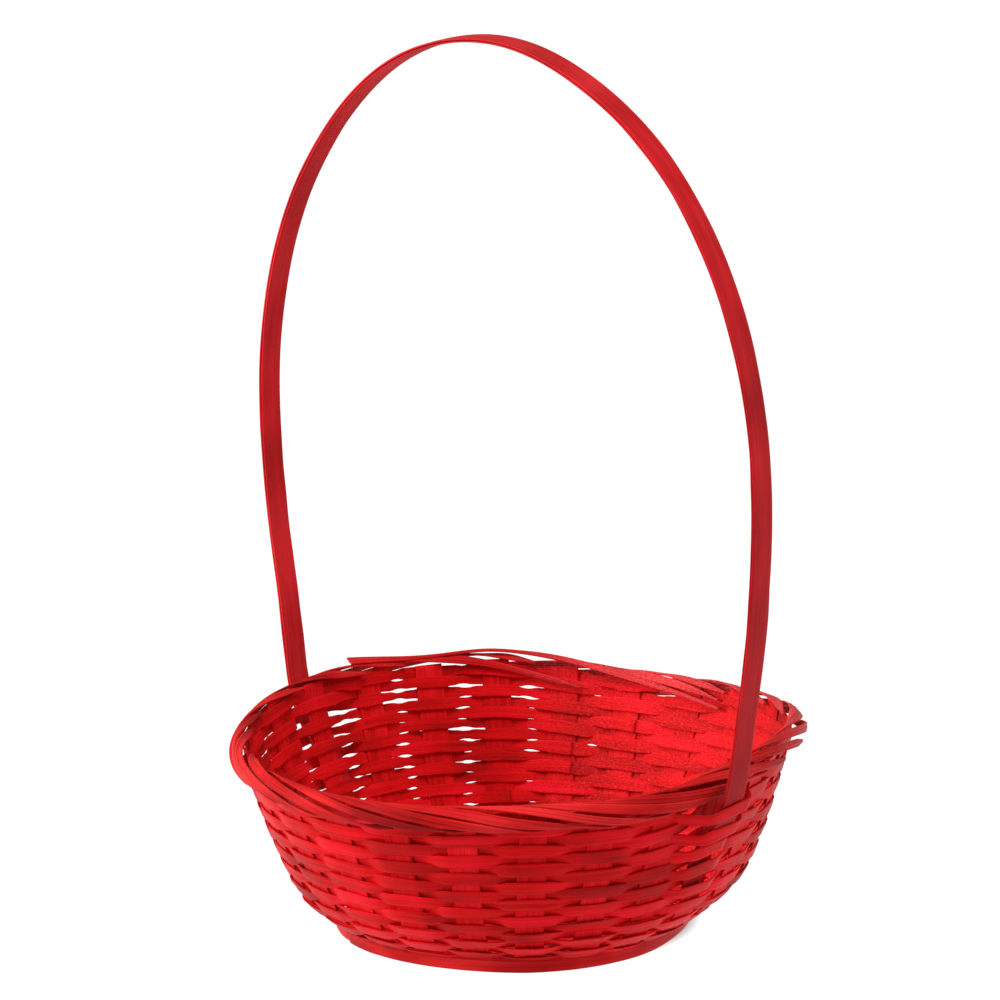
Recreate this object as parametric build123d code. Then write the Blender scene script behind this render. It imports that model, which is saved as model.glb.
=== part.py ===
from build123d import *
import math
import os

# Round split-bamboo egg basket, woven on flat stakes, with a tall fixed hoop handle.
# Every node is one strip of split bamboo.  Millimetres, +Z up, handle in the XZ plane.

# ---- stakes: twelve long ribs cross the base and rise as twenty-four stakes ----
rib_count = 12
rib_width = 14.8
rib_thick = 0.9
bundle_size = 3
bundle_pitch = 15.3
layer_step = 1.0

# ---- weave ----
weaver_thick = 0.8
weave_offset = 1.35
wall_rows = 18
border_rows = 2
wall_weaver_width = 5.05
wall_weaver_spread = 1.3
wall_row_pitch = 5.54
first_row_start = 5.4
base_row_radii = [76.5, 84.0]
base_weaver_width = 6.0

# ---- middle surface of the bowl, from the base centre outwards: (radius, height) ----
base_level = 8.0
profile = [
    (0.0, base_level),
    (30.0, base_level),
    (60.0, base_level),
    (85.0, base_level),
    (91.0, 8.1),
    (97.0, 9.4),
    (102.0, 12.2),
    (107.5, 16.6),
    (113.0, 22.2),
    (118.0, 30.0),
    (122.0, 39.0),
    (125.6, 48.0),
    (128.9, 57.0),
    (131.8, 66.0),
    (134.7, 75.0),
    (137.4, 84.0),
    (139.6, 92.0),
    (141.2, 101.0),
]

# ---- foot ring ----
foot_radius = 98.0
foot_thick = 1.4
foot_height = 7.8

# ---- border: narrow strips laid over the wall's top edge, from inside to outside ----
border_count = 24
border_sweep = 74.0
border_width = 5.0
border_thick = 1.1
# middle of a strip as it crosses, from inside the wall over the edge and down: (radius, height)
border_section = [
    (136.5, 93.5),
    (136.9, 97.0),
    (137.9, 100.3),
    (139.9, 103.0),
    (142.7, 104.1),
    (145.5, 103.1),
    (147.4, 100.4),
    (147.9, 97.0),
    (147.0, 94.2),
    (145.4, 92.3),
]

# ---- hoop handle: two layers of the same band ----
handle_width = 14.0
handle_layer_thick = 1.2
handle_layer_gap = 0.14
hoop_half_width = 177.4
hoop_centre_height = 255.8
hoop_rise = 213.0
handle_clear = 0.3
# middle of the band from the widest point down to the weave: (half width, height)
handle_leg = [
    (176.3, 221.0),
    (172.6, 183.0),
    (165.4, 141.0),
    (158.6, 112.0),
    (154.4, 98.0),
    (150.5, 89.0),
    (145.6, 81.0),
    (140.2, 73.0),
    (135.3, 65.0),
]
handle_end_heights = {"handle_band_inner": 38.0, "handle_band_outer": 58.0}
band_offset = rib_thick / 2 + handle_clear + handle_layer_thick + handle_layer_gap / 2

os.makedirs("parts", exist_ok=True)


def strip_solid(sections, closed=False):
    """One strip through a run of four-cornered sections, as a solid with ruled faces."""
    steps = len(sections) if closed else len(sections) - 1
    marks = [i / steps for i in range(steps + 1)]
    rails = []
    for corner in range(4):
        points = [Vector(*section[corner]) for section in sections]
        rails.append(Edge.make_spline(points, periodic=closed, parameters=marks))
    faces = [Face.make_surface_from_curves(rails[i], rails[(i + 1) % 4]) for i in range(4)]
    if not closed:
        for section in (sections[0], sections[-1]):
            faces.append(Face(Wire.make_polygon([Vector(*corner) for corner in section])))
    solid = Solid(Shell(faces))
    if solid.volume < 0:
        solid = Solid(Shell([-face for face in faces]))
    return solid


def save(name, shape):
    """Label one node and write its STEP file."""
    shape.label = name
    export_step(shape, os.path.join("parts", name + ".step"))


# ---------------------------------------------------------------- bowl surface
meridian = Spline(*[(radius, height) for radius, height in profile])
meridian_length = meridian.length


def meridian_at(distance):
    """Point and outward normal of the middle surface, by distance from the base centre."""
    share = min(max(distance / meridian_length, 0.0), 1.0)
    point = meridian @ share
    along = meridian % share
    return (point.X, point.Y), (along.Y, -along.X)


def distance_at_radius(radius):
    """Distance along the middle surface at which it reaches a given radius."""
    low, high = 0.0, meridian_length
    for _ in range(40):
        middle = (low + high) / 2
        if meridian_at(middle)[0][0] < radius:
            low = middle
        else:
            high = middle
    return (low + high) / 2


def distance_at_height(height):
    """Distance along the middle surface at which the wall reaches a given height."""
    low, high = distance_at_radius(95.0), meridian_length
    for _ in range(40):
        middle = (low + high) / 2
        if meridian_at(middle)[0][1] < height:
            low = middle
        else:
            high = middle
    return (low + high) / 2


# ---------------------------------------------------------------- handle path
def hoop_path(end_height):
    """Middle of the handle band for one half, from the apex down to its tucked end."""
    points = []
    for i in range(19):
        angle = math.radians(90.0 - 5.0 * i)
        points.append(
            (hoop_half_width * math.cos(angle), hoop_centre_height + hoop_rise * math.sin(angle))
        )
    points += handle_leg
    height = 56.0
    while height > end_height - 0.01:
        distance = distance_at_height(height)
        (radius, level), normal = meridian_at(distance)
        points.append((radius + normal[0] * band_offset, level + normal[1] * band_offset))
        height -= 9.0
    return points


half_path = hoop_path(38.0)
full_path = [(-x, z) for x, z in reversed(half_path[1:])] + half_path
hoop_curve = Spline(*full_path)


def band_at(share):
    """Point and outward normal on the middle line of the whole handle."""
    point = hoop_curve @ share
    along = hoop_curve % share
    return (point.X, point.Y), (-along.Y, along.X)


band_samples = []
for i in range(401):
    spot, out = band_at(0.5 + 0.5 * i / 400)
    band_samples.append((spot[1], spot[0], out))


def band_outer(height):
    """Half width to the outer face of the handle band at a height below the rim."""
    best = min(band_samples, key=lambda sample: abs(sample[0] - height))
    thickness = handle_layer_thick + handle_layer_gap / 2
    return best[1] + thickness / max(best[2][0], 0.4)


def handle_band(name, side):
    """One layer of the handle; side is +1 for the outer layer and -1 for the inner one."""
    end_height = handle_end_heights[name]
    middle_shift = side * (handle_layer_thick + handle_layer_gap) / 2
    half = handle_layer_thick / 2
    shares = [i / 180 for i in range(181)]
    sections = []
    for share in shares:
        spot, out = band_at(share)
        if spot[1] < end_height:
            continue
        corners = []
        for width_side, thick_side in ((-1, -1), (1, -1), (1, 1), (-1, 1)):
            shift = middle_shift + thick_side * half
            corners.append(
                (
                    spot[0] + out[0] * shift,
                    width_side * handle_width / 2,
                    spot[1] + out[1] * shift,
                )
            )
        sections.append(corners)
    return strip_solid(sections)


# ---------------------------------------------------------------- ribs and stakes
def smooth(value):
    """Ease from 0 to 1."""
    value = min(max(value, 0.0), 1.0)
    return value * value * (3 - 2 * value)


def rib_half(bundle, place, side):
    """Sections of one half of a rib, from the base centre out and up to the rim."""
    bundle_angle = math.radians(45.0 * bundle + (180.0 if side < 0 else 0.0))
    lane = (place - 1) * bundle_pitch * side
    fan = math.radians(15.0 * (place - 1) * side)
    level = (bundle - 1.5) * layer_step
    turn_radius = abs(lane) / math.tan(math.radians(15.0)) if lane else 57.0
    sections = []
    distances = [4.0 * i for i in range(1, 13)]
    distances += [51.0, 54.0, 56.5, 58.5, 60.5, 63.0, 66.0, 70.0]
    distances += [70.0 + (meridian_length - 70.0) * i / 26 for i in range(1, 27)]
    for distance in distances:
        (radius, height), normal = meridian_at(distance)
        blend = smooth((distance - turn_radius + 6.0) / 12.0)
        if distance < turn_radius + 6.0:
            straight_x, straight_y = radius, lane
            fan_x, fan_y = radius * math.cos(fan), radius * math.sin(fan)
            plan_x = straight_x * (1 - blend) + fan_x * blend
            plan_y = straight_y * (1 - blend) + fan_y * blend
        else:
            plan_x, plan_y = radius * math.cos(fan), radius * math.sin(fan)
        heading = fan * blend
        raise_by = level * (1 - smooth((distance - 62.0) / 8.0))
        corners = []
        for width_side, thick_side in ((-1, -1), (1, -1), (1, 1), (-1, 1)):
            across = width_side * rib_width / 2
            push = thick_side * rib_thick / 2
            local_x = plan_x - across * math.sin(heading) + push * normal[0] * math.cos(heading)
            local_y = plan_y + across * math.cos(heading) + push * normal[0] * math.sin(heading)
            local_z = height + raise_by + push * normal[1]
            corners.append(
                (
                    local_x * math.cos(bundle_angle) - local_y * math.sin(bundle_angle),
                    local_x * math.sin(bundle_angle) + local_y * math.cos(bundle_angle),
                    local_z,
                )
            )
        sections.append(corners)
    return sections


def rib(bundle, place):
    """A whole rib: up one side, across the base and up the other."""
    near = rib_half(bundle, place, 1)
    far = rib_half(bundle, place, -1)
    mirrored = [[section[1], section[0], section[3], section[2]] for section in reversed(far)]
    return strip_solid(mirrored + near)


# ---------------------------------------------------------------- woven rows
def wave(angle, pushed_out):
    """Plain weave: +1 outside a stake and -1 inside it, flattened where it rests."""
    phase = rib_count * angle + (0.0 if pushed_out else math.pi)
    return 1.2 * math.cos(phase) - 0.2 * math.cos(3 * phase)


def off_handle(angle):
    """Degrees round the bowl to the nearer end of the handle."""
    return math.degrees(abs(math.remainder(angle, math.pi)))


def wall_row(row):
    """One closed weaver in the wall, lying wider where it crosses a stake than between two."""
    middle = distance_at_radius(98.0) + first_row_start + row * wall_row_pitch
    pushed_out = (wall_rows - 1 - row) % 2 == 0
    top_edge = meridian_at(middle + wall_weaver_width / 2)[0]
    meets_handle = top_edge[1] > min(handle_end_heights.values()) - 2.0
    bulged = pushed_out and meets_handle and row < wall_rows - border_rows
    sections = []
    steps = 144
    for i in range(steps):
        angle = 2 * math.pi * i / steps
        swing = wave(angle, pushed_out)
        level = weave_offset * swing
        away = smooth((off_handle(angle) - 12.0) / 3.0)
        width = wall_weaver_width + wall_weaver_spread * away * smooth((abs(swing) - 0.45) / 0.5)
        edges = [meridian_at(middle + edge_side * width / 2) for edge_side in (-1, 1)]
        corners = []
        for edge, push in ((0, -1), (1, -1), (1, 1), (0, 1)):
            (radius, height), normal = edges[edge]
            shift = level
            if bulged:
                cover = (band_outer(height) - radius) * normal[0] + weaver_thick / 2 + 0.25
                over_band = 1.0 - smooth((off_handle(angle) - 4.0) / 7.0)
                shift += max(cover - weave_offset, 0.0) * over_band
            shift += push * weaver_thick / 2
            around = radius + normal[0] * shift
            corners.append(
                (around * math.cos(angle), around * math.sin(angle), height + normal[1] * shift)
            )
        sections.append(corners)
    return strip_solid(sections, closed=True)


def base_row(radius, pushed_out):
    """One closed weaver lying in the flat of the base."""
    sections = []
    steps = 144
    for i in range(steps):
        angle = 2 * math.pi * i / steps
        level = base_level - weave_offset * 1.15 * wave(angle, pushed_out)
        corners = []
        for edge_side, push in ((-1, -1), (1, -1), (1, 1), (-1, 1)):
            around = radius + edge_side * base_weaver_width / 2
            corners.append(
                (
                    around * math.cos(angle),
                    around * math.sin(angle),
                    level + push * weaver_thick / 2,
                )
            )
        sections.append(corners)
    return strip_solid(sections, closed=True)


border_line = Spline(*border_section)


def border_strip(number):
    """One strip of the border, crossing from inside the wall to outside as it goes round."""
    start = 2 * math.pi * number / border_count
    sections = []
    steps = 40
    for i in range(steps + 1):
        share = i / steps
        angle = start + math.radians(border_sweep) * share
        point = border_line @ share
        along = border_line % share
        corners = []
        for width_side, push in ((-1, -1), (1, -1), (1, 1), (-1, 1)):
            across = width_side * border_width / 2
            out = push * border_thick / 2
            around = point.X + across * along.X - out * along.Y
            height = point.Y + across * along.Y + out * along.X
            corners.append((around * math.cos(angle), around * math.sin(angle), height))
        sections.append(corners)
    return strip_solid(sections)


def foot_strip():
    """The flat ring of the foot, standing on edge."""
    ring = Cylinder(foot_radius, foot_height, align=(Align.CENTER, Align.CENTER, Align.MIN))
    return ring - Cylinder(foot_radius - foot_thick, foot_height * 3)


# ---------------------------------------------------------------- the nodes
for bundle in range(rib_count // bundle_size):
    for place in range(bundle_size):
        save(f"rib_{bundle * bundle_size + place + 1:02d}", rib(bundle, place))

for number, radius in enumerate(base_row_radii):
    save(f"base_weaver_{number + 1}", base_row(radius, number % 2 == 1))

for row in range(wall_rows):
    save(f"wall_weaver_{row + 1:02d}", wall_row(row))

save("foot_ring", foot_strip())

for number in range(border_count):
    save(f"border_strip_{number + 1:02d}", border_strip(number))

save("handle_band_inner", handle_band("handle_band_inner", -1))
save("handle_band_outer", handle_band("handle_band_outer", 1))
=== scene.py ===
import math

import bpy
import numpy as np
from mathutils import Matrix, Vector

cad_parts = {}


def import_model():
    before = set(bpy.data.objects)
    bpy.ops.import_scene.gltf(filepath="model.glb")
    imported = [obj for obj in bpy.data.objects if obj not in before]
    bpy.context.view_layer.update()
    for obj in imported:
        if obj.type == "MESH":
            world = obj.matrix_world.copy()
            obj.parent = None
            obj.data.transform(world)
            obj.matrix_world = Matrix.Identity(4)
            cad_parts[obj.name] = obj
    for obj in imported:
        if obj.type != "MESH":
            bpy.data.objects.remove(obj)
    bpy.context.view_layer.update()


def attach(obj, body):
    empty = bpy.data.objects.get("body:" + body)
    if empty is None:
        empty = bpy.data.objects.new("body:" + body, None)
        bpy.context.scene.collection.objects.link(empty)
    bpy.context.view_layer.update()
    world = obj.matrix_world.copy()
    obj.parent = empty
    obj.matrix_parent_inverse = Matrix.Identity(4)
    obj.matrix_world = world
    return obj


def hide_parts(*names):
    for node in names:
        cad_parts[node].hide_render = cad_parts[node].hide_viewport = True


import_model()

# Lengths below are in millimetres and are turned into metres when a mesh is made.
MM = 0.001

# ---- the bowl: the CAD's sizes, except for the border's sweep and the tuck at its outer end ----
STAKES = 24
RIB_WIDTH = 14.8
RIB_THICK = 0.9
BUNDLE_SIZE = 3
BUNDLE_PITCH = 15.3
LAYER_STEP = 1.0
BASE_LEVEL = 8.0
WALL_ROWS = 18
BORDER_ROWS = 2
WEAVER_THICK = 0.8
ROW_PITCH = 5.54
FIRST_ROW = 5.4
BASE_ROW_RADII = (76.5, 84.0)
BASE_ROW_WIDTH = 6.0
FOOT_RADIUS = 98.0
FOOT_THICK = 1.4
FOOT_HEIGHT = 7.8
BORDER_COUNT = 24
BORDER_SWEEP = 82.0
BORDER_WIDTH = 5.0
BORDER_THICK = 1.1
BORDER_SECTION = (
    (136.5, 93.5),
    (136.9, 97.0),
    (137.9, 100.3),
    (139.9, 103.0),
    (142.7, 104.1),
    (145.5, 103.1),
    (147.4, 100.4),
    (148.0, 97.0),
    (146.9, 93.9),
    (144.3, 92.4),
    (142.4, 93.6),
)
PROFILE = (
    (0.0, 8.0),
    (30.0, 8.0),
    (60.0, 8.0),
    (85.0, 8.0),
    (91.0, 8.1),
    (97.0, 9.4),
    (102.0, 12.2),
    (107.5, 16.6),
    (113.0, 22.2),
    (118.0, 30.0),
    (122.0, 39.0),
    (125.6, 48.0),
    (128.9, 57.0),
    (131.8, 66.0),
    (134.7, 75.0),
    (137.4, 84.0),
    (139.6, 92.0),
    (141.2, 101.0),
)

# ---- the hoop handle: the CAD's sizes, except that its legs stand further out low down ----
HANDLE_WIDTH = 14.0
LAYER_THICK = 1.2
LAYER_GAP = 0.14
HOOP_HALF_WIDTH = 177.4
HOOP_CENTRE = 255.8
HOOP_RISE = 213.0
HANDLE_LEG = (
    (176.3, 221.0),
    (172.6, 183.0),
    (165.6, 141.0),
    (160.0, 112.0),
    (156.8, 98.0),
    (153.6, 89.0),
    (149.4, 81.0),
    (143.4, 73.0),
    (136.2, 65.0),
)
HANDLE_ENDS = {"handle_band_inner": 38.0, "handle_band_outer": 58.0}
BAND_OFFSET = RIB_THICK / 2 + 0.3 + LAYER_THICK + LAYER_GAP / 2

# ---- how the hand-made basket differs from the even CAD one ----
CAMERA_SIDE = math.radians(-46.0)  # the side of the bowl that faces the camera
WEAVE_TURN = math.radians(2.4)  # the stakes sit this far round from the handle's plane
ROW_LAP = math.radians(35.0)  # how far round the two ends of a weaver overlap
ROW_SWING = 0.97  # how far a weaver's middle goes to either side of the stakes
LOWEST_SWING = 0.90  # the same for the lowest row, which lies flatter
ROW_LEAN = 4.0  # degrees by which a weaver's face tips outwards
LEFT_LIMB_IN = 2.9  # how far the hoop's left limb is pulled in
SHOULDER_SUNK = 1.9  # how far the hoop's right shoulder has sunk

# ---- how rough the splits are ----
RIDGE_SPACING = 45.0  # a ridge or crack keeps its height for about this long
TONE_SPACING = 24.0  # the dye's tone changes from stitch to stitch
EDGE_WEAR = 0.012  # how much the edges wander, as a share of the width
CRACKS = (-0.36, 0.30)  # where a split cracks lengthwise, across its face from -1 to 1
CRACK_WIDTH = 0.10


# ------------------------------------------------------------------ curves
def spline(knots, values):
    """Natural cubic spline through the knots, as a function of arrays."""
    knots = np.asarray(knots, float)
    values = np.asarray(values, float)
    gaps = np.diff(knots)
    count = len(knots)
    matrix = np.eye(count)
    right = np.zeros((count,) + values.shape[1:])
    for i in range(1, count - 1):
        matrix[i, i - 1] = gaps[i - 1]
        matrix[i, i] = 2 * (gaps[i - 1] + gaps[i])
        matrix[i, i + 1] = gaps[i]
        right[i] = 6 * (
            (values[i + 1] - values[i]) / gaps[i] - (values[i] - values[i - 1]) / gaps[i - 1]
        )
    bend = np.linalg.solve(matrix, right)

    def at(x):
        x = np.asarray(x, float)
        i = np.clip(np.searchsorted(knots, x) - 1, 0, count - 2)
        h = gaps[i]
        a = (knots[i + 1] - x) / h
        b = (x - knots[i]) / h
        if values.ndim > 1:
            a, b, h = a[..., None], b[..., None], h[..., None]
        curve = ((a**3 - a) * bend[i] + (b**3 - b) * bend[i + 1]) * h * h / 6
        return a * values[i] + b * values[i + 1] + curve

    return at


def ring_spline(degrees, values):
    """Smooth closed curve through values given at angles in degrees, as a function of radians."""
    degrees = np.asarray(degrees, float)
    values = np.asarray(values, float)
    wide = np.concatenate([degrees - 360, degrees, degrees + 360])
    curve = spline(wide, np.concatenate([values] * 3))
    return lambda angle: curve(np.degrees(angle) % 360)


def ease(x):
    """0 below 0, 1 above 1, and a smooth step between."""
    x = np.clip(x, 0.0, 1.0)
    return x * x * (3 - 2 * x)


def wander(rng, angle, size, lowest, highest):
    """Smooth wandering of about the given size, made of whole waves round the bowl."""
    total = np.zeros_like(np.asarray(angle, float))
    waves = np.arange(lowest, highest + 1)
    share = size / math.sqrt(len(waves))
    for count in waves:
        total = total + share * math.sqrt(2) * rng.normal(0, 0.7) * np.sin(
            count * angle + rng.uniform(0, 2 * math.pi)
        )
    return total


profile_points = np.array(PROFILE)
profile_steps = np.concatenate(
    [[0], np.cumsum(np.hypot(*np.diff(profile_points, axis=0).T))]
)
meridian = spline(profile_steps, profile_points)
fine = np.linspace(0, profile_steps[-1], 4001)
fine_points = meridian(fine)
fine_length = np.concatenate([[0], np.cumsum(np.hypot(*np.diff(fine_points, axis=0).T))])
WALL_END = fine_length[-1]


def wall(distance):
    """Radius, height and outward normal (radial, vertical) at a distance from the base centre."""
    distance = np.asarray(distance, float)
    inside = np.clip(distance, 0, WALL_END)
    radius = np.interp(inside, fine_length, fine_points[:, 0])
    height = np.interp(inside, fine_length, fine_points[:, 1])
    step = 1.0
    ahead = np.clip(inside + step, 0, WALL_END)
    behind = np.clip(inside - step, 0, WALL_END)
    run = np.interp(ahead, fine_length, fine_points[:, 0]) - np.interp(
        behind, fine_length, fine_points[:, 0]
    )
    rise = np.interp(ahead, fine_length, fine_points[:, 1]) - np.interp(
        behind, fine_length, fine_points[:, 1]
    )
    size = np.hypot(run, rise)
    run, rise = run / size, rise / size
    past = distance - inside
    return radius + run * past, height + rise * past, rise, -run


START_OF_WALL = float(np.interp(98.0, fine_points[:, 0], fine_length))


def turned(radius, height, angle):
    """Points round the bowl's axis."""
    return np.stack([radius * np.cos(angle), radius * np.sin(angle), height], axis=-1)


def outwards(radial, vertical, angle):
    """Directions round the bowl's axis."""
    return np.stack([radial * np.cos(angle), radial * np.sin(angle), vertical], axis=-1)


# ------------------------------------------------------------------ the hand-made sag
# all by degrees round the bowl from the side that faces the camera
RIM_LEVELS = (
    (0, -3.3),
    (30, -3.8),
    (46, 1.0),
    (60, 4.2),
    (90, 3.6),
    (107, 0.5),
    (135, -4.2),
    (160, -4.2),
    (180, 0.0),
    (200, 2.0),
    (217, 3.0),
    (240, 1.0),
    (257, -2.2),
    (272, -4.0),
    (300, -5.2),
    (328, -5.8),
    (345, -4.2),
)
FOOT_BULGE = (
    (0, 3.0),
    (14, 4.0),
    (30, 1.5),
    (45, -2.0),
    (60, -6.0),
    (77, -7.5),
    (92, -6.5),
    (115, -3.0),
    (150, 0.0),
    (180, 0.0),
    (220, 0.0),
    (250, -2.0),
    (270, -3.2),
    (300, -2.2),
    (330, 0.0),
    (345, 1.0),
)
WALL_BULGE = (
    (0, 0.0),
    (45, 0.0),
    (65, 1.0),
    (80, 2.6),
    (95, 3.6),
    (110, 2.8),
    (135, 0.3),
    (180, 0.0),
    (240, 0.0),
    (275, -0.6),
    (300, -0.8),
    (330, 0.0),
)
FOOT_DROP = (
    (0, 1.6),
    (30, 2.2),
    (60, 3.4),
    (90, 3.4),
    (120, 1.5),
    (160, 0.3),
    (200, 0.3),
    (240, 1.2),
    (270, 2.2),
    (300, 2.6),
    (330, 1.8),
)
foot_drop = ring_spline(*zip(*FOOT_DROP))
rim_rise = ring_spline(*zip(*RIM_LEVELS))
foot_bulge = ring_spline(*zip(*FOOT_BULGE))
wall_bulge = ring_spline(*zip(*WALL_BULGE))


def hand_made(points):
    """The bowl's unevenness: rim and lower rows rise and dip, and neither foot nor wall is round."""
    points = points.copy()
    angle = np.arctan2(points[..., 1], points[..., 0]) - CAMERA_SIDE
    radius = np.hypot(points[..., 0], points[..., 1])
    height = points[..., 2]
    outer = ease((radius - 50.0) / 45.0)
    low = 1 - ease((height - 9.0) / 20.0)
    high = ease((height - 14.0) / 34.0)
    over_foot = ease((radius - 88.0) / 8.0) * ease((height - 6.0) / 2.0)
    drop = foot_drop(angle) * over_foot * (1 - ease((height - 9.0) / 26.0))
    wider = outer * (foot_bulge(angle) * low + wall_bulge(angle) * high)
    grow = 1 + wider / np.maximum(radius, 1.0)
    points[..., 0] *= grow
    points[..., 1] *= grow
    points[..., 2] += rim_rise(angle) * ease((height - 20.0) / 75.0) * outer - drop
    return points


def pith_and_sheen_side(points):
    """How much rough, pale torn pith the inner faces show, 0 to 1: one side of the bowl shows more of
    the split's soft pith, and its paler pink there is a painted highlight as well.
    """
    angle = np.degrees(np.arctan2(points[:, 1], points[:, 0]) - CAMERA_SIDE) % 360
    return ease((angle - 60.0) / 30.0) * (1 - ease((angle - 160.0) / 25.0))


# ------------------------------------------------------------------ strips as meshes
def unit(vectors):
    return vectors / np.linalg.norm(vectors, axis=-1, keepdims=True)


def section_outline(face_points, crown):
    """Outline of a flat split: (across -1..1, through -1..1, is it the inner face)."""
    across = np.linspace(-1, 1, face_points)
    outer = [(a * 0.965, 1.0 - crown * a * a, 0.0) for a in across]
    right = [(1.0, 0.45 * (1 - crown), 0.3), (1.0, -0.45, 0.7)]
    inner = [(a * 0.965, -1.0 + 0.1 * a * a, 1.0) for a in across[::-1]]
    left = [(-1.0, -0.45, 0.7), (-1.0, 0.45 * (1 - crown), 0.3)]
    return np.array(outer + right + inner + left)


def over_run(run, values):
    """Values at even steps along a strip, read off at each of its rings."""
    return np.interp(run, np.linspace(0, run[-1], len(values)), values)


def roughness(rng, run, outline, grain, groove):
    """How far each line of the outline stands proud, and how its edges wander as a share of width."""
    across = outline[None, :, 0]
    knots = max(4, int(run[-1] / RIDGE_SPACING))
    ridges = rng.normal(0, grain, (knots, len(outline)))
    lasting = rng.normal(0, grain, len(outline))
    proud = lasting[None, :] + np.stack([over_run(run, line) for line in ridges.T], axis=1)
    uneven = [over_run(run, rng.normal(0, 1, knots * 3))[:, None] for _ in range(2)]
    wander_of_edges = np.where(across > 0, uneven[0], uneven[1]) * EDGE_WEAR * np.abs(across) ** 4
    if groove:
        for home in CRACKS:
            line = home + 0.22 * rng.uniform(-1, 1) + 0.10 * over_run(run, rng.uniform(-1, 1, knots))
            deep = groove * over_run(run, rng.uniform(0.3, 1, knots))
            proud = proud - deep[:, None] * np.exp(-(((across - line[:, None]) / CRACK_WIDTH) ** 2))
    return proud, wander_of_edges


def fibre_coordinates(run, outline, width, thick, shift):
    """Fibre coordinates in metres for every corner: along the split, then round its outline."""
    sides, rings = len(outline), len(run)
    girth = np.linalg.norm(np.diff(outline[:, :2] * [[width / 2, thick / 2]], axis=0), axis=1)
    round_it = np.concatenate([[0], np.cumsum(girth)])
    closing = round_it[-1] + thick / 2
    index = np.arange((rings - 1) * sides)
    ring, side = index // sides, index % sides
    next_side = np.where(side == sides - 1, closing, round_it[(side + 1) % sides])
    u = np.stack([run[ring], run[ring + 1], run[ring + 1], run[ring]], axis=1)
    v = np.stack([round_it[side], round_it[side], next_side, next_side], axis=1)
    body = np.stack([u * MM + shift[0], v * MM + shift[1]], axis=-1).reshape(-1, 2)
    cap = np.stack([outline[:, 1] * 0.0006, outline[:, 0] * 0.004], axis=-1) + shift
    return np.concatenate([body, cap, cap[::-1]])


def add_attribute(mesh, name, values):
    """A number for every corner point of the mesh, for the material to read."""
    mesh.attributes.new(name, "FLOAT", "POINT").data.foreach_set("value", values.astype(np.float32))


def build_strip(
    name,
    middle,
    normal,
    width,
    thick,
    material,
    nodes,
    seed,
    grain=0.05,
    face_points=9,
    crown=0.25,
    painted_light_run=0.0,
    groove=0.0,
):
    """One split of bamboo along a path, with rounded edges, long ridges and cut ends.

    middle and normal are (N, 3); width and thick are numbers or (N,) arrays, in millimetres.
    """
    rng = np.random.default_rng(seed)
    count = len(middle)
    width = np.broadcast_to(width, (count,)).astype(float)
    thick = np.broadcast_to(thick, (count,)).astype(float)
    along = unit(np.gradient(middle, axis=0))
    across = unit(np.cross(normal, along))
    normal = unit(np.cross(along, across))
    outline = section_outline(face_points, crown)
    sides = len(outline)
    run = np.concatenate([[0], np.cumsum(np.linalg.norm(np.diff(middle, axis=0), axis=1))])

    proud, edges = roughness(rng, run, outline, grain, groove)
    side_way = (outline[None, :, 0] / 2 + edges) * width[:, None]
    through = outline[None, :, 1] * thick[:, None] / 2 + proud * np.sign(outline[None, :, 1])
    points = (
        middle[:, None, :]
        + across[:, None, :] * side_way[..., None]
        + normal[:, None, :] * through[..., None]
    )

    faces = []
    for first in range(0, (count - 1) * sides, sides):
        for j in range(sides):
            k = (j + 1) % sides
            faces.append((first + j, first + sides + j, first + sides + k, first + k))
    last = (count - 1) * sides
    faces.append(tuple(range(sides)))
    faces.append(tuple(range(last + sides - 1, last - 1, -1)))

    mesh = bpy.data.meshes.new(name)
    mesh.from_pydata((points.reshape(-1, 3) * MM).tolist(), [], faces)
    mesh.polygons.foreach_set("use_smooth", [True] * (len(faces) - 2) + [False, False])
    shift = rng.uniform(0, 3.0, 2)
    fibres = fibre_coordinates(run, outline, width.mean(), thick.mean(), shift)
    mesh.uv_layers.new(name="fibre").data.foreach_set("uv", fibres.astype(np.float32).ravel())

    # painted light and shade: the term that runs from 1 to -1 along the strip colours it lighter at its
    # first end and darker at its last; only the handle uses it
    tones_and_painted_light = rng.uniform(-1, 1) + painted_light_run * np.linspace(1, -1, count)
    tones_and_painted_light = tones_and_painted_light + 0.9 * over_run(run, rng.normal(0, 1, max(4, int(run[-1] / TONE_SPACING))))
    add_attribute(mesh, "inner", np.tile(outline[:, 2], count))
    # pale pith on one side of the bowl, which is a painted highlight as well as pith
    add_attribute(mesh, "pith_and_sheen", np.repeat(pith_and_sheen_side(middle), sides))
    add_attribute(mesh, "tone_and_painted_light", np.repeat(tones_and_painted_light, sides))
    mesh.validate()
    mesh.update()

    piece = bpy.data.objects.new(name, mesh)
    bpy.context.scene.collection.objects.link(piece)
    mesh.materials.append(material)
    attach(piece, "root")
    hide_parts(*nodes)
    return piece


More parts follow.
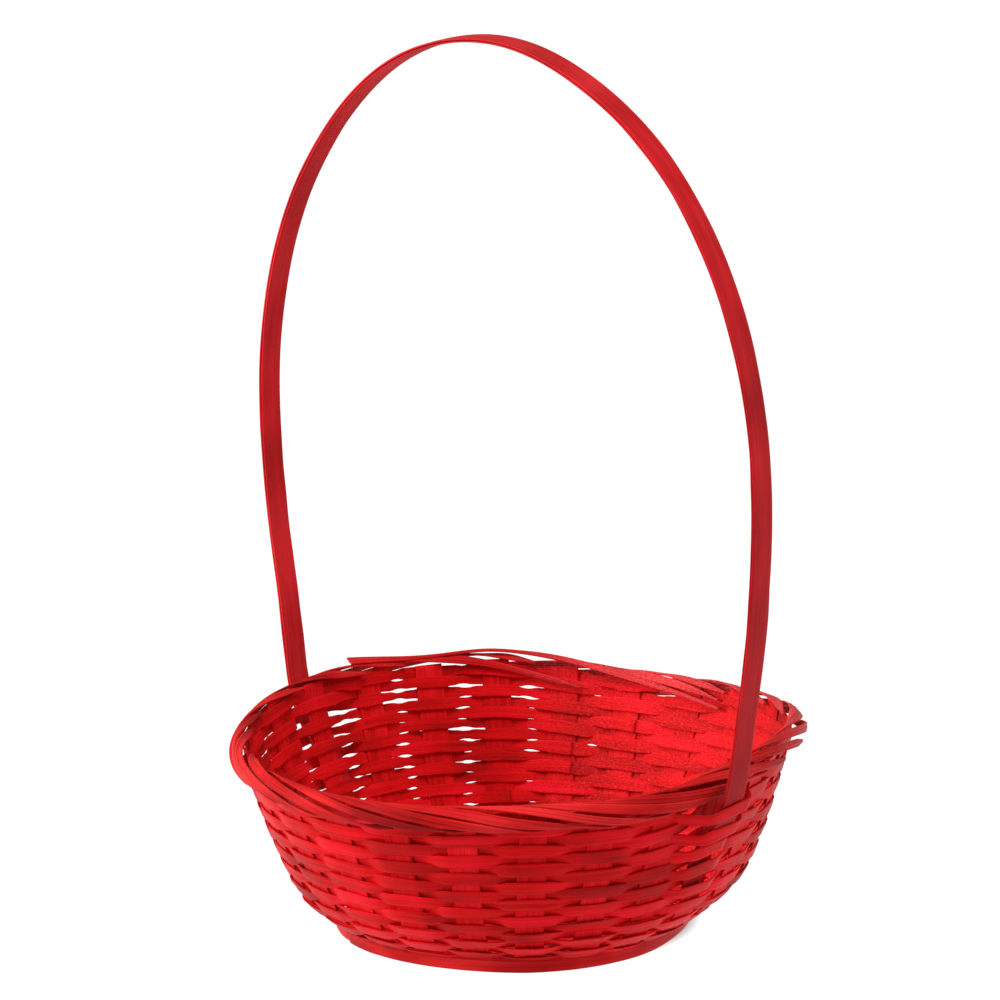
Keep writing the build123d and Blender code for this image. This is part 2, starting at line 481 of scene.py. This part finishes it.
# ------------------------------------------------------------------ materials
def dyed_bamboo(name, deep, mid, light, pith, roughness, fibre=1.0, gloss=0.12, painted_sheen=0.0):
    """Split bamboo dyed red: fibres along the split, uneven dye, and a rougher inner face."""
    material = bpy.data.materials.new(name)
    material.use_nodes = True
    nodes = material.node_tree.nodes
    links = material.node_tree.links
    shader = nodes["Principled BSDF"]

    def node(kind, **values):
        made = nodes.new(kind)
        for key, value in values.items():
            setattr(made, key, value)
        return made

    def fill(sockets, values):
        for socket, value in zip(sockets, values):
            if isinstance(value, bpy.types.NodeSocket):
                links.new(value, socket)
            else:
                socket.default_value = value

    def noise(vector, scale, detail=3.0, rough=0.55):
        made = node("ShaderNodeTexNoise")
        made.inputs["Scale"].default_value = scale
        made.inputs["Detail"].default_value = detail
        made.inputs["Roughness"].default_value = rough
        links.new(vector, made.inputs["Vector"])
        return made.outputs["Fac"]

    def stretched(u_scale, v_scale):
        made = node("ShaderNodeMapping")
        made.inputs["Scale"].default_value = (u_scale, v_scale, 1.0)
        links.new(fibre_map.outputs["UV"], made.inputs["Vector"])
        return made.outputs["Vector"]

    def ramp(value, stops):
        made = node("ShaderNodeValToRGB")
        links.new(value, made.inputs["Fac"])
        elements = made.color_ramp.elements
        while len(elements) < len(stops):
            elements.new(0.5)
        for element, (place, colour) in zip(elements, stops):
            element.position = place
            element.color = (*colour, 1)
        return made.outputs["Color"]

    def mix(kind, factor, first, second):
        made = node("ShaderNodeMix", data_type="RGBA", blend_type=kind)
        fill((made.inputs["Factor"], made.inputs[6], made.inputs[7]), (factor, first, second))
        return made.outputs[2]

    def maths(kind, *values, clamp=False):
        made = node("ShaderNodeMath", operation=kind, use_clamp=clamp)
        fill(made.inputs, values)
        return made.outputs[0]

    fibre_map = node("ShaderNodeUVMap", uv_map="fibre")
    place = node("ShaderNodeTexCoord").outputs["Object"]
    inner = node("ShaderNodeAttribute", attribute_name="inner").outputs["Fac"]
    pith_and_sheen = node("ShaderNodeAttribute", attribute_name="pith_and_sheen").outputs["Fac"]
    tone_and_painted_light = node("ShaderNodeAttribute", attribute_name="tone_and_painted_light").outputs["Fac"]
    fine_fibre = noise(stretched(14, 1400), 1.0, 2.0, 0.6)
    coarse_fibre = noise(stretched(7, 420), 1.0, 3.0, 0.6)
    patches = noise(place, 26.0, 3.0, 0.55)
    streaks = noise(stretched(22, 120), 1.0, 2.0, 0.5)
    pith_grain = noise(stretched(520, 1500), 1.0, 4.0, 0.8)

    dye = maths("MULTIPLY", coarse_fibre, 0.40)
    dye = maths("MULTIPLY_ADD", patches, 0.30, dye)
    dye = maths("MULTIPLY_ADD", streaks, 0.30, dye)
    # this holds random tone and, on the handle, painted light and shade from one end to the other
    dye = maths("MULTIPLY_ADD", tone_and_painted_light, 0.05, dye)
    colour = ramp(dye, ((0.36, deep), (0.50, mid), (0.66, light)))
    stains = ramp(noise(place, 15.0, 2.0, 0.5), ((0.38, (0.82, 0.86, 0.80)), (0.50, (1, 1, 1))))
    colour = mix("MULTIPLY", 0.8, colour, stains)
    lines = ramp(fine_fibre, ((0.30, (0.58, 0.50, 0.50)), (0.55, (1, 1, 1))))
    colour = mix("MULTIPLY", 0.6 * fibre, colour, lines)

    # the inner face is the soft split side: paler torn fibre stands up from it
    torn = ramp(pith_grain, ((0.46, (0, 0, 0)), (0.74, (1, 1, 1))))
    # painted highlight: on one side of the bowl the pale torn pith is laid on more thickly, which paints
    # the pink sheen there as well as pith
    much = maths("MULTIPLY_ADD", pith_and_sheen, 0.5, 0.1)
    torn = maths("MULTIPLY", maths("MULTIPLY", torn, inner), much)
    colour = mix("MIX", torn, colour, (*pith, 1))
    # painted highlight: pale pink marks on one side of the bowl only, standing in for the pink sheen of
    # the light on the rim there
    if painted_sheen:
        uneven = maths("MULTIPLY", ramp(pith_grain, ((0.42, (0, 0, 0)), (0.62, (1, 1, 1)))), pith_and_sheen)
        colour = mix("MIX", maths("MULTIPLY", uneven, painted_sheen), colour, (*pith, 1))
    links.new(colour, shader.inputs["Base Color"])

    rough = maths("MULTIPLY_ADD", coarse_fibre, 0.25, roughness - 0.12)
    rough = maths("MULTIPLY_ADD", inner, 0.22, rough, clamp=True)
    links.new(rough, shader.inputs["Roughness"])
    shader.inputs["Specular IOR Level"].default_value = gloss
    shader.inputs["Specular Tint"].default_value = (1.0, 0.17, 0.27, 1)

    height = maths("MULTIPLY", coarse_fibre, 0.6)
    height = maths("MULTIPLY_ADD", fine_fibre, 0.5, height)
    height = maths("MULTIPLY_ADD", maths("MULTIPLY", pith_grain, inner), 0.9, height)
    bump = node("ShaderNodeBump")
    bump.inputs["Strength"].default_value = 0.55 * fibre
    bump.inputs["Distance"].default_value = 0.00035
    links.new(height, bump.inputs["Height"])
    links.new(bump.outputs["Normal"], shader.inputs["Normal"])
    return material


weaver_material = dyed_bamboo(
    "weaver_bamboo",
    (0.40, 0.0040, 0.0036),
    (0.66, 0.0046, 0.0052),
    (0.88, 0.0075, 0.0210),
    (0.95, 0.10, 0.11),
    0.48,
)
stake_material = dyed_bamboo(
    "stake_bamboo",
    (0.46, 0.0034, 0.0036),
    (0.68, 0.0056, 0.0066),
    (0.88, 0.0130, 0.0210),
    (0.92, 0.09, 0.10),
    0.52,
    1.2,
)
rim_material = dyed_bamboo(
    "rim_bamboo",
    (0.30, 0.0060, 0.0050),
    (0.54, 0.0090, 0.0090),
    (0.76, 0.0260, 0.0260),
    (0.84, 0.15, 0.16),
    0.48,
    1.0,
    0.14,
    # painted highlight: how much pale pink sheen is painted on one side of the rim
    0.55,
)
handle_material = dyed_bamboo(
    "handle_bamboo",
    (0.40, 0.0064, 0.0074),
    (0.51, 0.0104, 0.0124),
    (0.63, 0.0200, 0.0240),
    (0.58, 0.05, 0.05),
    0.52,
    0.9,
    0.25,
)


# ------------------------------------------------------------------ the handle's line
def hoop_line():
    """Middle of the band in its own plane, from the left end over the top to the right end."""
    angle = np.radians(90.0 - 5.0 * np.arange(19))
    half = [
        (HOOP_HALF_WIDTH * math.cos(a), HOOP_CENTRE + HOOP_RISE * math.sin(a)) for a in angle
    ]
    half += list(HANDLE_LEG)
    for height in (56.0, 47.0, 38.0):
        distance = np.interp(height, fine_points[2000:, 1], fine_length[2000:])
        radius, level, radial, vertical = wall(distance)
        half.append((float(radius + radial * BAND_OFFSET), float(level + vertical * BAND_OFFSET)))
    line = np.array([(-x, z) for x, z in half[:0:-1]] + half)
    run = np.concatenate([[0], np.cumsum(np.hypot(*np.diff(line, axis=0).T))])
    curve = spline(run, line)
    return curve(np.linspace(0, run[-1], 520))


hoop = hoop_line()
hoop_way = np.gradient(hoop, axis=0)
hoop_way /= np.linalg.norm(hoop_way, axis=1, keepdims=True)
hoop_out = np.stack([-hoop_way[:, 1], hoop_way[:, 0]], axis=1)
right_leg = slice(len(hoop) // 2, None)


def band_cover(height):
    """Half width to the outer face of the band at a height below the rim."""
    heights = hoop[right_leg, 1][::-1]
    reach = hoop[right_leg, 0] + (LAYER_THICK + LAYER_GAP / 2) / np.maximum(
        hoop_out[right_leg, 0], 0.4
    )
    return np.interp(height, heights, reach[::-1])


# ------------------------------------------------------------------ woven rows
def weave_wave(phase):
    """Plain weave: +1 outside a stake, -1 inside, flattened where it rests on one."""
    return 1.2 * np.cos(phase) - 0.2 * np.cos(3 * phase)


def view_angle(angle):
    """Degrees round the bowl from the side that faces the camera."""
    return np.degrees(angle - CAMERA_SIDE) % 360


def between(degrees, start, end, soft=12.0):
    """1 between two view angles and 0 away from them, with soft ends."""
    return ease((degrees - start + soft / 2) / soft) * (1 - ease((degrees - end + soft / 2) / soft))


def row_middle(row, angle):
    """Distance of a wall row from the base centre, and the local spacing of the rows.

    The rows start nearer the foot in front, and are closer together there low down.
    """
    first, low, growth = 0.9, 5.14, 0.0414
    growing = first + row * low + growth * row * (row - 1)
    in_front = 0.5 + 0.5 * np.cos(angle - CAMERA_SIDE)
    even = FIRST_ROW - 1.4 + row * (ROW_PITCH + 0.08)
    pitch = ROW_PITCH + 0.08 + (low + growth * (2 * row - 1) - ROW_PITCH - 0.08) * in_front
    return START_OF_WALL + even + (growing - even) * in_front, pitch


# rows whose first end shows inside the far wall: the stake it lies at and degrees past it
ROW_STARTS = {17: (11, 2.0), 15: (11, -3.5)}


# the larger slits between one row and the next above it: (degrees round, half width, half gap)
SLITS = {
    15: ((206, 4.8, 0.8), (190, 4.6, 0.7), (176, 3.6, 0.4)),
    14: ((206, 4.8, 1.0), (221, 4.6, 0.9), (176, 4.8, 0.7)),
    13: ((221, 4.2, 0.7),),
    11: ((190, 4.6, 0.7), (176, 3.8, 0.6)),
    9: ((176, 4.2, 0.6),),
    16: ((161, 4.4, 0.9), (146, 4.8, 1.1)),
    10: ((161, 2.6, 0.5),),
}


def slits(edge):
    """The slits over one row: the larger ones, and smaller uneven ones at the looser side."""
    if not 3 <= edge < WALL_ROWS - 1:
        return ()
    rng = np.random.default_rng(1200 + edge)
    small = [
        (at + rng.uniform(-1.4, 1.4), rng.uniform(2.2, 4.4), 0.42 * rng.uniform(0, 1) ** 1.3)
        for at in (191.0, 206.0, 221.0, 236.0, 251.0)
    ]
    return tuple(small) + SLITS.get(edge, ())


# how far the rows ride up where they go over the end of the handle nearest the camera
RIDING_UP = ((0, 0.0), (5, 0.4), (8, 1.3), (11, 2.8), (13, 4.3), (15, 5.8), (16, 4.6), (17, 3.0))


def row_width(rng, row, angle, wave, pitch):
    """Width of a wall row: wider where it shows outside or inside a stake than where it crosses."""
    seen = view_angle(angle)
    open_side = between(seen, 172, 282, 24)
    shut_side = between(seen, 90, 162, 20)
    narrow = 1.04 - 0.115 * open_side + 0.02 * shut_side
    wide = 1.27 - 0.1 * open_side
    share = narrow + (wide - narrow) * ease((np.abs(wave) - 0.2) / 0.5)
    loose = 0.03 + 0.035 * open_side
    share = share + loose * (wander(rng, angle, 1.0, 2, 12) + wander(rng, angle, 0.8, 13, 30))
    low_down = 1 + 0.3 * ease((6.0 - row) / 6.0) * (1 - between(seen, 130, 230, 40))
    return pitch * share * low_down


def wall_row(row):
    """One weaver of the wall, with its two ends lapped over each other."""
    rng = np.random.default_rng(400 + row)
    pushed_out = (WALL_ROWS - 1 - row) % 2 == 0
    first_stake = int(rng.integers(0, 12)) * 2 + (1 if pushed_out else 0)
    first_stake, past = ROW_STARTS.get(row, (first_stake, -2.5))
    length = 2 * math.pi + ROW_LAP
    turn = np.linspace(0, length, 620)
    angle = WEAVE_TURN + math.radians(15.0 * first_stake + past) + turn
    phase = (angle - WEAVE_TURN) * STAKES / 2 + (0 if pushed_out else math.pi)
    phase = phase + wander(rng, angle, 0.16, 5, 20)

    # where the row runs up the wall, with the slits above and below it cut away
    middle, pitch = row_middle(row, angle)
    middle = middle + wander(rng, angle, 0.24, 2, 9) + wander(rng, angle, 0.22, 10, 26)
    seen = view_angle(angle)
    middle = middle + np.interp(row, *zip(*RIDING_UP)) * np.exp(-(((seen - 48.0) / 11.0) ** 2))
    trimmed = [
        sum(cut * between(seen, at - half, at + half, 2.0) for at, half, cut in slits(edge))
        for edge in (row - 1, row)
    ]
    middle = middle + (trimmed[0] - trimmed[1]) / 2
    radius, height, radial, vertical = wall(middle)

    # how far it stands out from the stakes: in and out, clear of its own end, and over the handle
    swing = (ROW_SWING if row else LOWEST_SWING) + wander(rng, angle, 0.07, 3, 24)
    wave = weave_wave(phase)
    from_end = turn - length + ROW_LAP
    lapped = ease((ROW_LAP + 0.12 - turn) / 0.12) * 0.5 - ease((from_end + 0.12) / 0.12) * 0.5
    level = swing * wave - lapped * (WEAVER_THICK + 0.1)
    off_handle = np.degrees(np.abs(np.remainder(angle + math.pi / 2, math.pi) - math.pi / 2))
    meets_handle = float(np.mean(height)) > HANDLE_ENDS["handle_band_inner"] - 1.0
    if pushed_out and meets_handle and row < WALL_ROWS - BORDER_ROWS:
        wanted = (band_cover(height) - radius) * radial + WEAVER_THICK / 2 + 0.35
        level = level + np.maximum(wanted - swing, 0) * (1 - ease((off_handle - 4.0) / 7.5))

    lean = np.radians((ROW_LEAN if row else 0.0) + wander(rng, angle, 3.0, 4, 22))
    normal_radial = radial * np.cos(lean) + vertical * np.sin(lean)
    normal_vertical = vertical * np.cos(lean) - radial * np.sin(lean)
    points = turned(radius + radial * level, height + vertical * level, angle)
    width = row_width(rng, row, angle, wave, pitch) - trimmed[0] - trimmed[1]
    if row == WALL_ROWS - 1:
        width = width * (1 + 0.45 * (1 - ease((turn - 0.25) / 0.2)))
    build_strip(
        f"weaver_row_{row + 1:02d}",
        hand_made(points),
        outwards(normal_radial, normal_vertical, angle),
        width,
        WEAVER_THICK,
        weaver_material,
        [f"wall_weaver_{row + 1:02d}"],
        500 + row,
        0.035,
    )


def base_row(number, radius):
    """One weaver lying in the flat of the base."""
    rng = np.random.default_rng(430 + number)
    start = rng.uniform(0, 2 * math.pi)
    angle = start + np.linspace(0, 2 * math.pi + 0.4, 420)
    turn = angle - start
    phase = (angle - WEAVE_TURN) * STAKES / 2 + (math.pi if number % 2 == 0 else 0)
    lapped = ease((0.5 - turn) / 0.1) * 0.5 - ease((turn - 2 * math.pi + 0.1) / 0.1) * 0.5
    level = BASE_LEVEL - 1.55 * weave_wave(phase) - lapped * 0.9
    points = hand_made(turned(np.full_like(angle, radius), level, angle))
    normal = outwards(np.zeros_like(angle), -np.ones_like(angle), angle)
    build_strip(
        f"base_row_{number + 1}",
        points,
        normal,
        BASE_ROW_WIDTH,
        WEAVER_THICK,
        weaver_material,
        [f"base_weaver_{number + 1}"],
        530 + number,
    )


# ------------------------------------------------------------------ ribs
def rib_half(bundle, place, side, rng):
    """Middle line and outward normals of half a rib, from near the base centre to the rim."""
    turn = math.radians(45.0 * bundle + (180.0 if side < 0 else 0.0)) + WEAVE_TURN
    lane = (place - 1) * BUNDLE_PITCH * side
    fan = math.radians(15.0 * (place - 1) * side)
    level = (bundle - 1.5) * LAYER_STEP
    bend_at = abs(lane) / math.tan(math.radians(15.0)) if lane else 57.0
    top = WALL_END + rng.uniform(-1.0, 2.5)
    distance = np.concatenate([np.arange(3.0, 72.0, 3.0), np.linspace(72.0, top, 60)])
    radius, height, radial, vertical = wall(distance)
    blend = ease((distance - bend_at + 6.0) / 12.0)
    x = radius * (1 - blend) + radius * math.cos(fan) * blend
    y = lane * (1 - blend) + radius * math.sin(fan) * blend
    heading = fan * blend
    height = height + level * (1 - ease((distance - 62.0) / 8.0))
    drift = np.interp(distance, (80, 130, top), (0, rng.normal(0, 0.5), rng.normal(0, 0.9)))
    x = x - drift * np.sin(heading)
    y = y + drift * np.cos(heading)
    flat_x, flat_y = radial * np.cos(heading), radial * np.sin(heading)
    points = np.stack(
        [
            x * math.cos(turn) - y * math.sin(turn),
            x * math.sin(turn) + y * math.cos(turn),
            height,
        ],
        axis=1,
    )
    normal = np.stack(
        [
            flat_x * math.cos(turn) - flat_y * math.sin(turn),
            flat_x * math.sin(turn) + flat_y * math.cos(turn),
            vertical,
        ],
        axis=1,
    )
    return points, normal


def rib(bundle, place):
    """A whole rib, up one side, across the base and up the other."""
    number = bundle * BUNDLE_SIZE + place + 1
    rng = np.random.default_rng(600 + number)
    near, near_normal = rib_half(bundle, place, 1, rng)
    far, far_normal = rib_half(bundle, place, -1, rng)
    points = np.concatenate([far[::-1], near])
    normal = np.concatenate([far_normal[::-1], near_normal])
    count = len(points)
    width = RIB_WIDTH * (1 + wander(rng, np.linspace(0, 2 * math.pi, count), 0.025, 1, 6))
    build_strip(
        f"rib_split_{number:02d}",
        hand_made(points),
        normal,
        width,
        RIB_THICK,
        stake_material,
        [f"rib_{number:02d}"],
        630 + number,
        0.045,
        15,
    )


# ------------------------------------------------------------------ rim, foot and handle
border_points = np.array(BORDER_SECTION)
border_steps = np.concatenate([[0], np.cumsum(np.hypot(*np.diff(border_points, axis=0).T))])
border_curve = spline(border_steps, border_points)
BORDER_LENGTH = border_steps[-1]

# The one border strip that never goes down outside: it rises slantwise on the inside of the far
# wall, arches over the edge and ends in a cut tip: (view angle, radius, height, lean of its face)
LOOSE_STRIP = (
    (128, 136.6, 92.0, 170),
    (137, 136.8, 95.5, 165),
    (149, 137.2, 100.2, 160),
    (161, 138.0, 104.4, 140),
    (171, 139.5, 106.6, 115),
    (179, 141.0, 107.3, 95),
    (186, 142.2, 107.2, 90),
    (193, 142.8, 105.6, 90),
    (201, 143.0, 104.6, 95),
    (209, 143.2, 105.6, 105),
    (217, 143.4, 107.4, 118),
)
LOOSE_NUMBER = 6
LONG_TAILS = {5: 0.10, 8: -0.04}  # strips that show on the inside, and where they start


def loose_path():
    """The loose strip's angles, radii, heights, outward directions and widths."""
    table = np.array(LOOSE_STRIP, float)
    path = spline(table[:, 0], table[:, 1:])
    seen = np.linspace(table[0, 0], table[-1, 0], 150)
    radius, height, lean = path(seen).T
    angle = np.radians(seen) + CAMERA_SIDE
    lean = np.radians(lean)
    share = np.linspace(0, 1, len(seen))
    width = 3.4 * (0.45 + 0.55 * ease(share / 0.3)) + 1.6 * ease((share - 0.7) / 0.2)
    return angle, radius, height, np.cos(lean), np.sin(lean), width


def border_path(number, rng):
    """The same for a strip that goes over the edge and down outside."""
    draws = rng.uniform(-1, 1, 8)
    first = LONG_TAILS.get(number, 0.27 + 0.05 * draws[0])
    start = 2 * math.pi * number / BORDER_COUNT + math.radians(2.0) * draws[2]
    ends_at = view_angle(start + math.radians(BORDER_SWEEP) * 0.86)
    loose = float(58 < ends_at < 112)
    last = 1.0 + 0.05 * draws[1] - 0.15 * loose
    share = np.linspace(first, last, 150)
    angle = start + math.radians(BORDER_SWEEP) * share
    place = share * BORDER_LENGTH + 0.6 * draws[3] + wander(rng, angle, 0.5, 3, 11)
    spot = border_curve(place)
    ahead = border_curve(place + 0.5) - border_curve(place - 0.5)
    ahead /= np.linalg.norm(ahead, axis=1, keepdims=True)
    radial, vertical = -ahead[:, 1], ahead[:, 0]
    stand = 0.35 * draws[4] + wander(rng, angle, 0.3, 4, 12)
    flare = loose * (1.0 + 0.7 * draws[5]) * ease((share - last + 0.3) / 0.3)
    radius = spot[:, 0] + radial * stand + flare
    height = spot[:, 1] + vertical * stand + flare * (0.35 + 0.2 * draws[3])
    roll = np.radians(8.0 * draws[6] + wander(rng, angle, 6.0, 3, 9))
    radial, vertical = (
        radial * np.cos(roll) - vertical * np.sin(roll),
        vertical * np.cos(roll) + radial * np.sin(roll),
    )
    size = BORDER_WIDTH * (0.92 + 0.13 * draws[7])
    run_in = ease((share - first) / 0.10)
    run_out = ease((last - share) / 0.07)
    tail = 1 - 0.4 * (1 - ease((share - 0.12) / 0.22)) * (number in LONG_TAILS)
    tip = 0.55 - 0.1 * loose
    width = size * (0.35 + 0.65 * run_in) * (tip + (1 - tip) * run_out) * tail
    return angle, radius, height, radial, vertical, width


def border_strip(number):
    """One strip of the border, crossing from inside the wall to outside as it goes round."""
    rng = np.random.default_rng(900 + number)
    path = loose_path() if number == LOOSE_NUMBER else border_path(number, rng)
    angle, radius, height, radial, vertical, width = path
    build_strip(
        f"border_split_{number + 1:02d}",
        hand_made(turned(radius, height, angle)),
        outwards(radial, vertical, angle),
        width,
        BORDER_THICK + 0.25,
        rim_material,
        [f"border_strip_{number + 1:02d}"],
        920 + number,
        0.05,
        21,
        0.55,
        0.0,
        0.42,
    )


def foot_strip():
    """The flat ring of the foot, standing on edge, its ends lapped."""
    rng = np.random.default_rng(760)
    lap = 0.22
    turn = np.linspace(0, 2 * math.pi + lap, 360)
    angle = CAMERA_SIDE + math.radians(295) + turn
    lapped = ease((lap + 0.1 - turn) / 0.1) * 0.5 - ease((turn - 2 * math.pi + 0.1) / 0.1) * 0.5
    around = FOOT_RADIUS - FOOT_THICK / 2 + lapped * FOOT_THICK
    tall = FOOT_HEIGHT + 2.0 - foot_drop(angle - CAMERA_SIDE)
    middle = tall / 2 + 0.2 + wander(rng, angle, 0.05, 2, 7)
    points = hand_made(turned(around, middle, angle))
    normal = outwards(np.ones_like(angle), np.zeros_like(angle), angle)
    thick = FOOT_THICK - 0.1 - 0.35 * np.abs(lapped)
    build_strip(
        "foot_split",
        points,
        normal,
        tall,
        thick,
        rim_material,
        ["foot_ring"],
        770,
        0.03,
        11,
    )


def handle_band(number, name, side):
    """One layer of the hoop."""
    rng = np.random.default_rng(800 + number)
    low_right = HANDLE_ENDS[name]
    keep = hoop[:, 1] >= low_right
    line, out = hoop[keep], hoop_out[keep]
    share = np.linspace(0, 2 * math.pi, len(line))
    shift = side * (LAYER_THICK + LAYER_GAP) / 2
    limb = ease((-line[:, 0] - 50.0) / 90.0) * ease((line[:, 1] - 95.0) / 60.0)
    shoulder = np.exp(-(((line[:, 0] - 62.0) / 42.0) ** 2)) * (line[:, 1] > HOOP_CENTRE)
    points = np.stack(
        [
            line[:, 0] + out[:, 0] * shift + LEFT_LIMB_IN * limb,
            np.zeros(len(line)),
            line[:, 1] + out[:, 1] * shift - SHOULDER_SUNK * shoulder,
        ],
        axis=1,
    )
    normal = np.stack([out[:, 0], np.zeros(len(line)), out[:, 1]], axis=1)
    width = HANDLE_WIDTH * (1 + wander(rng, share, 0.02, 1, 9)) * (1.0 if side > 0 else 0.97)
    build_strip(
        name.replace("band", "split"),
        points,
        normal,
        width,
        LAYER_THICK,
        handle_material,
        [name],
        810 + number,
        0.04,
        15,
        0.25,
        # painted light and shade: the hoop is coloured lighter at its left end and darker at its right
        # end, as the key light from the left falls
        2.6,
    )


# ------------------------------------------------------------------ the basket
for bundle_number in range(STAKES // 2 // BUNDLE_SIZE):
    for place_number in range(BUNDLE_SIZE):
        rib(bundle_number, place_number)
for row_number in range(WALL_ROWS):
    wall_row(row_number)
for row_number, row_radius in enumerate(BASE_ROW_RADII):
    base_row(row_number, row_radius)
for strip_number in range(BORDER_COUNT):
    border_strip(strip_number)
foot_strip()
handle_band(0, "handle_band_inner", -1)
handle_band(1, "handle_band_outer", 1)


# ------------------------------------------------------------------ studio
# painted shadow: inside this radius the floor is coloured dark red for camera rays
FOOT_SHADOW = (0.085, 0.096)  # metres from the axis between which the shadow under the base ends


def floor():
    """A wide white floor, with a painted dark red shadow where the camera sees it under the basket, and
    clear from below.
    """
    mesh = bpy.data.meshes.new("floor")
    size = 40.0
    mesh.from_pydata(
        [(-size, -size, 0), (size, -size, 0), (size, size, 0), (-size, size, 0)], [], [(0, 1, 2, 3)]
    )
    plane = bpy.data.objects.new("floor", mesh)
    bpy.context.scene.collection.objects.link(plane)
    material = bpy.data.materials.new("floor_white")
    material.use_nodes = True
    nodes, links = material.node_tree.nodes, material.node_tree.links
    shader = nodes["Principled BSDF"]
    shader.inputs["Roughness"].default_value = 1.0
    shader.inputs["Specular IOR Level"].default_value = 0.0

    seen = nodes.new("ShaderNodeLightPath").outputs["Is Camera Ray"]
    glow = nodes.new("ShaderNodeMapRange")
    glow.inputs["To Min"].default_value = 0.86
    glow.inputs["To Max"].default_value = 0.98
    links.new(seen, glow.inputs["Value"])
    links.new(glow.outputs["Result"], shader.inputs["Emission Strength"])

    away = nodes.new("ShaderNodeVectorMath")
    away.operation = "LENGTH"
    links.new(nodes.new("ShaderNodeTexCoord").outputs["Object"], away.inputs[0])
    under = nodes.new("ShaderNodeMapRange")
    under.inputs["From Min"].default_value = FOOT_SHADOW[1]
    under.inputs["From Max"].default_value = FOOT_SHADOW[0]
    links.new(away.outputs["Value"], under.inputs["Value"])
    painted_shadow = nodes.new("ShaderNodeMath")
    painted_shadow.operation = "MULTIPLY"
    links.new(under.outputs["Result"], painted_shadow.inputs[0])
    links.new(seen, painted_shadow.inputs[1])
    # painted shadow: seen by the camera under the basket, the floor's colour and glow turn dark red,
    # standing in for shade and red light bounced from the bamboo
    for socket, lit, shaded in (
        ("Base Color", (0.10, 0.10, 0.10, 1), (0.02, 0.002, 0.002, 1)),
        ("Emission Color", (1, 1, 1, 1), (0.10, 0.005, 0.005, 1)),
    ):
        mix = nodes.new("ShaderNodeMix")
        mix.data_type = "RGBA"
        mix.inputs[6].default_value = lit
        mix.inputs[7].default_value = shaded
        links.new(painted_shadow.outputs[0], mix.inputs["Factor"])
        links.new(mix.outputs[2], shader.inputs[socket])

    sides = nodes.new("ShaderNodeMixShader")
    links.new(nodes.new("ShaderNodeNewGeometry").outputs["Backfacing"], sides.inputs[0])
    links.new(shader.outputs[0], sides.inputs[1])
    links.new(nodes.new("ShaderNodeBsdfTransparent").outputs[0], sides.inputs[2])
    links.new(sides.outputs[0], nodes["Material Output"].inputs["Surface"])
    mesh.materials.append(material)


def area_light(name, azimuth, elevation, distance, size, power, colour=(1, 1, 1)):
    """A soft box looking at the bowl, placed round it by angles from the camera's side."""
    data = bpy.data.lights.new(name, "AREA")
    data.shape = "RECTANGLE"
    data.size, data.size_y = size
    data.energy = power
    data.color = colour
    lamp = bpy.data.objects.new(name, data)
    bpy.context.scene.collection.objects.link(lamp)
    turn = CAMERA_SIDE + math.radians(azimuth)
    rise = math.radians(elevation)
    target = np.array([0.0, 0.0, 0.12])
    way = np.array([math.cos(turn) * math.cos(rise), math.sin(turn) * math.cos(rise), math.sin(rise)])
    aim(lamp, target + way * distance, -way)


def aim(thing, place, way, roll=0.0):
    """Puts a camera or lamp at a place, looking along a direction."""
    turn = Vector(way).to_track_quat("-Z", "Y").to_matrix()
    turn = turn @ Matrix.Rotation(roll, 3, "Z")
    thing.matrix_world = Matrix.Translation(Vector(place)) @ turn.to_4x4()


def camera():
    """A long lens from the basket's front, a little above it."""
    data = bpy.data.cameras.new("camera")
    body = bpy.data.objects.new("camera", data)
    bpy.context.scene.collection.objects.link(body)
    bpy.context.scene.camera = body
    distance, elevation = 5.9, math.radians(14.1)
    turn = CAMERA_SIDE
    to_camera = np.array(
        [math.cos(turn) * math.cos(elevation), math.sin(turn) * math.cos(elevation), math.sin(elevation)]
    )
    right = np.array([-math.sin(turn), math.cos(turn), 0.0])
    up = np.cross(to_camera, right)
    target = np.array([0.0, 0.0, 0.228]) + right * -0.005 + up * -0.0021
    data.sensor_width = 36.0
    data.lens = 1.93 * 36.0 * distance
    data.clip_end = 200.0
    aim(body, target + to_camera * distance, -to_camera, math.radians(-1.0))


def world():
    """Even white surroundings, which light the basket less than they show."""
    made = bpy.data.worlds.new("studio")
    made.use_nodes = True
    nodes, links = made.node_tree.nodes, made.node_tree.links
    back = nodes["Background"]
    seen = nodes.new("ShaderNodeLightPath").outputs["Is Camera Ray"]
    strength = nodes.new("ShaderNodeMapRange")
    strength.inputs["To Min"].default_value = 0.31
    strength.inputs["To Max"].default_value = 1.0
    links.new(seen, strength.inputs["Value"])
    links.new(strength.outputs["Result"], back.inputs["Strength"])
    back.inputs["Color"].default_value = (1, 1, 1, 1)
    bpy.context.scene.world = made


floor()
world()
area_light("key_left", -80, 20, 2.2, (0.9, 0.9), 47)
area_light("side_right", 80, 22, 2.2, (1.0, 1.2), 8)
area_light("top_front", -12, 68, 2.2, (1.0, 1.0), 34)
camera()
bpy.context.scene.view_settings.view_transform = "Standard"
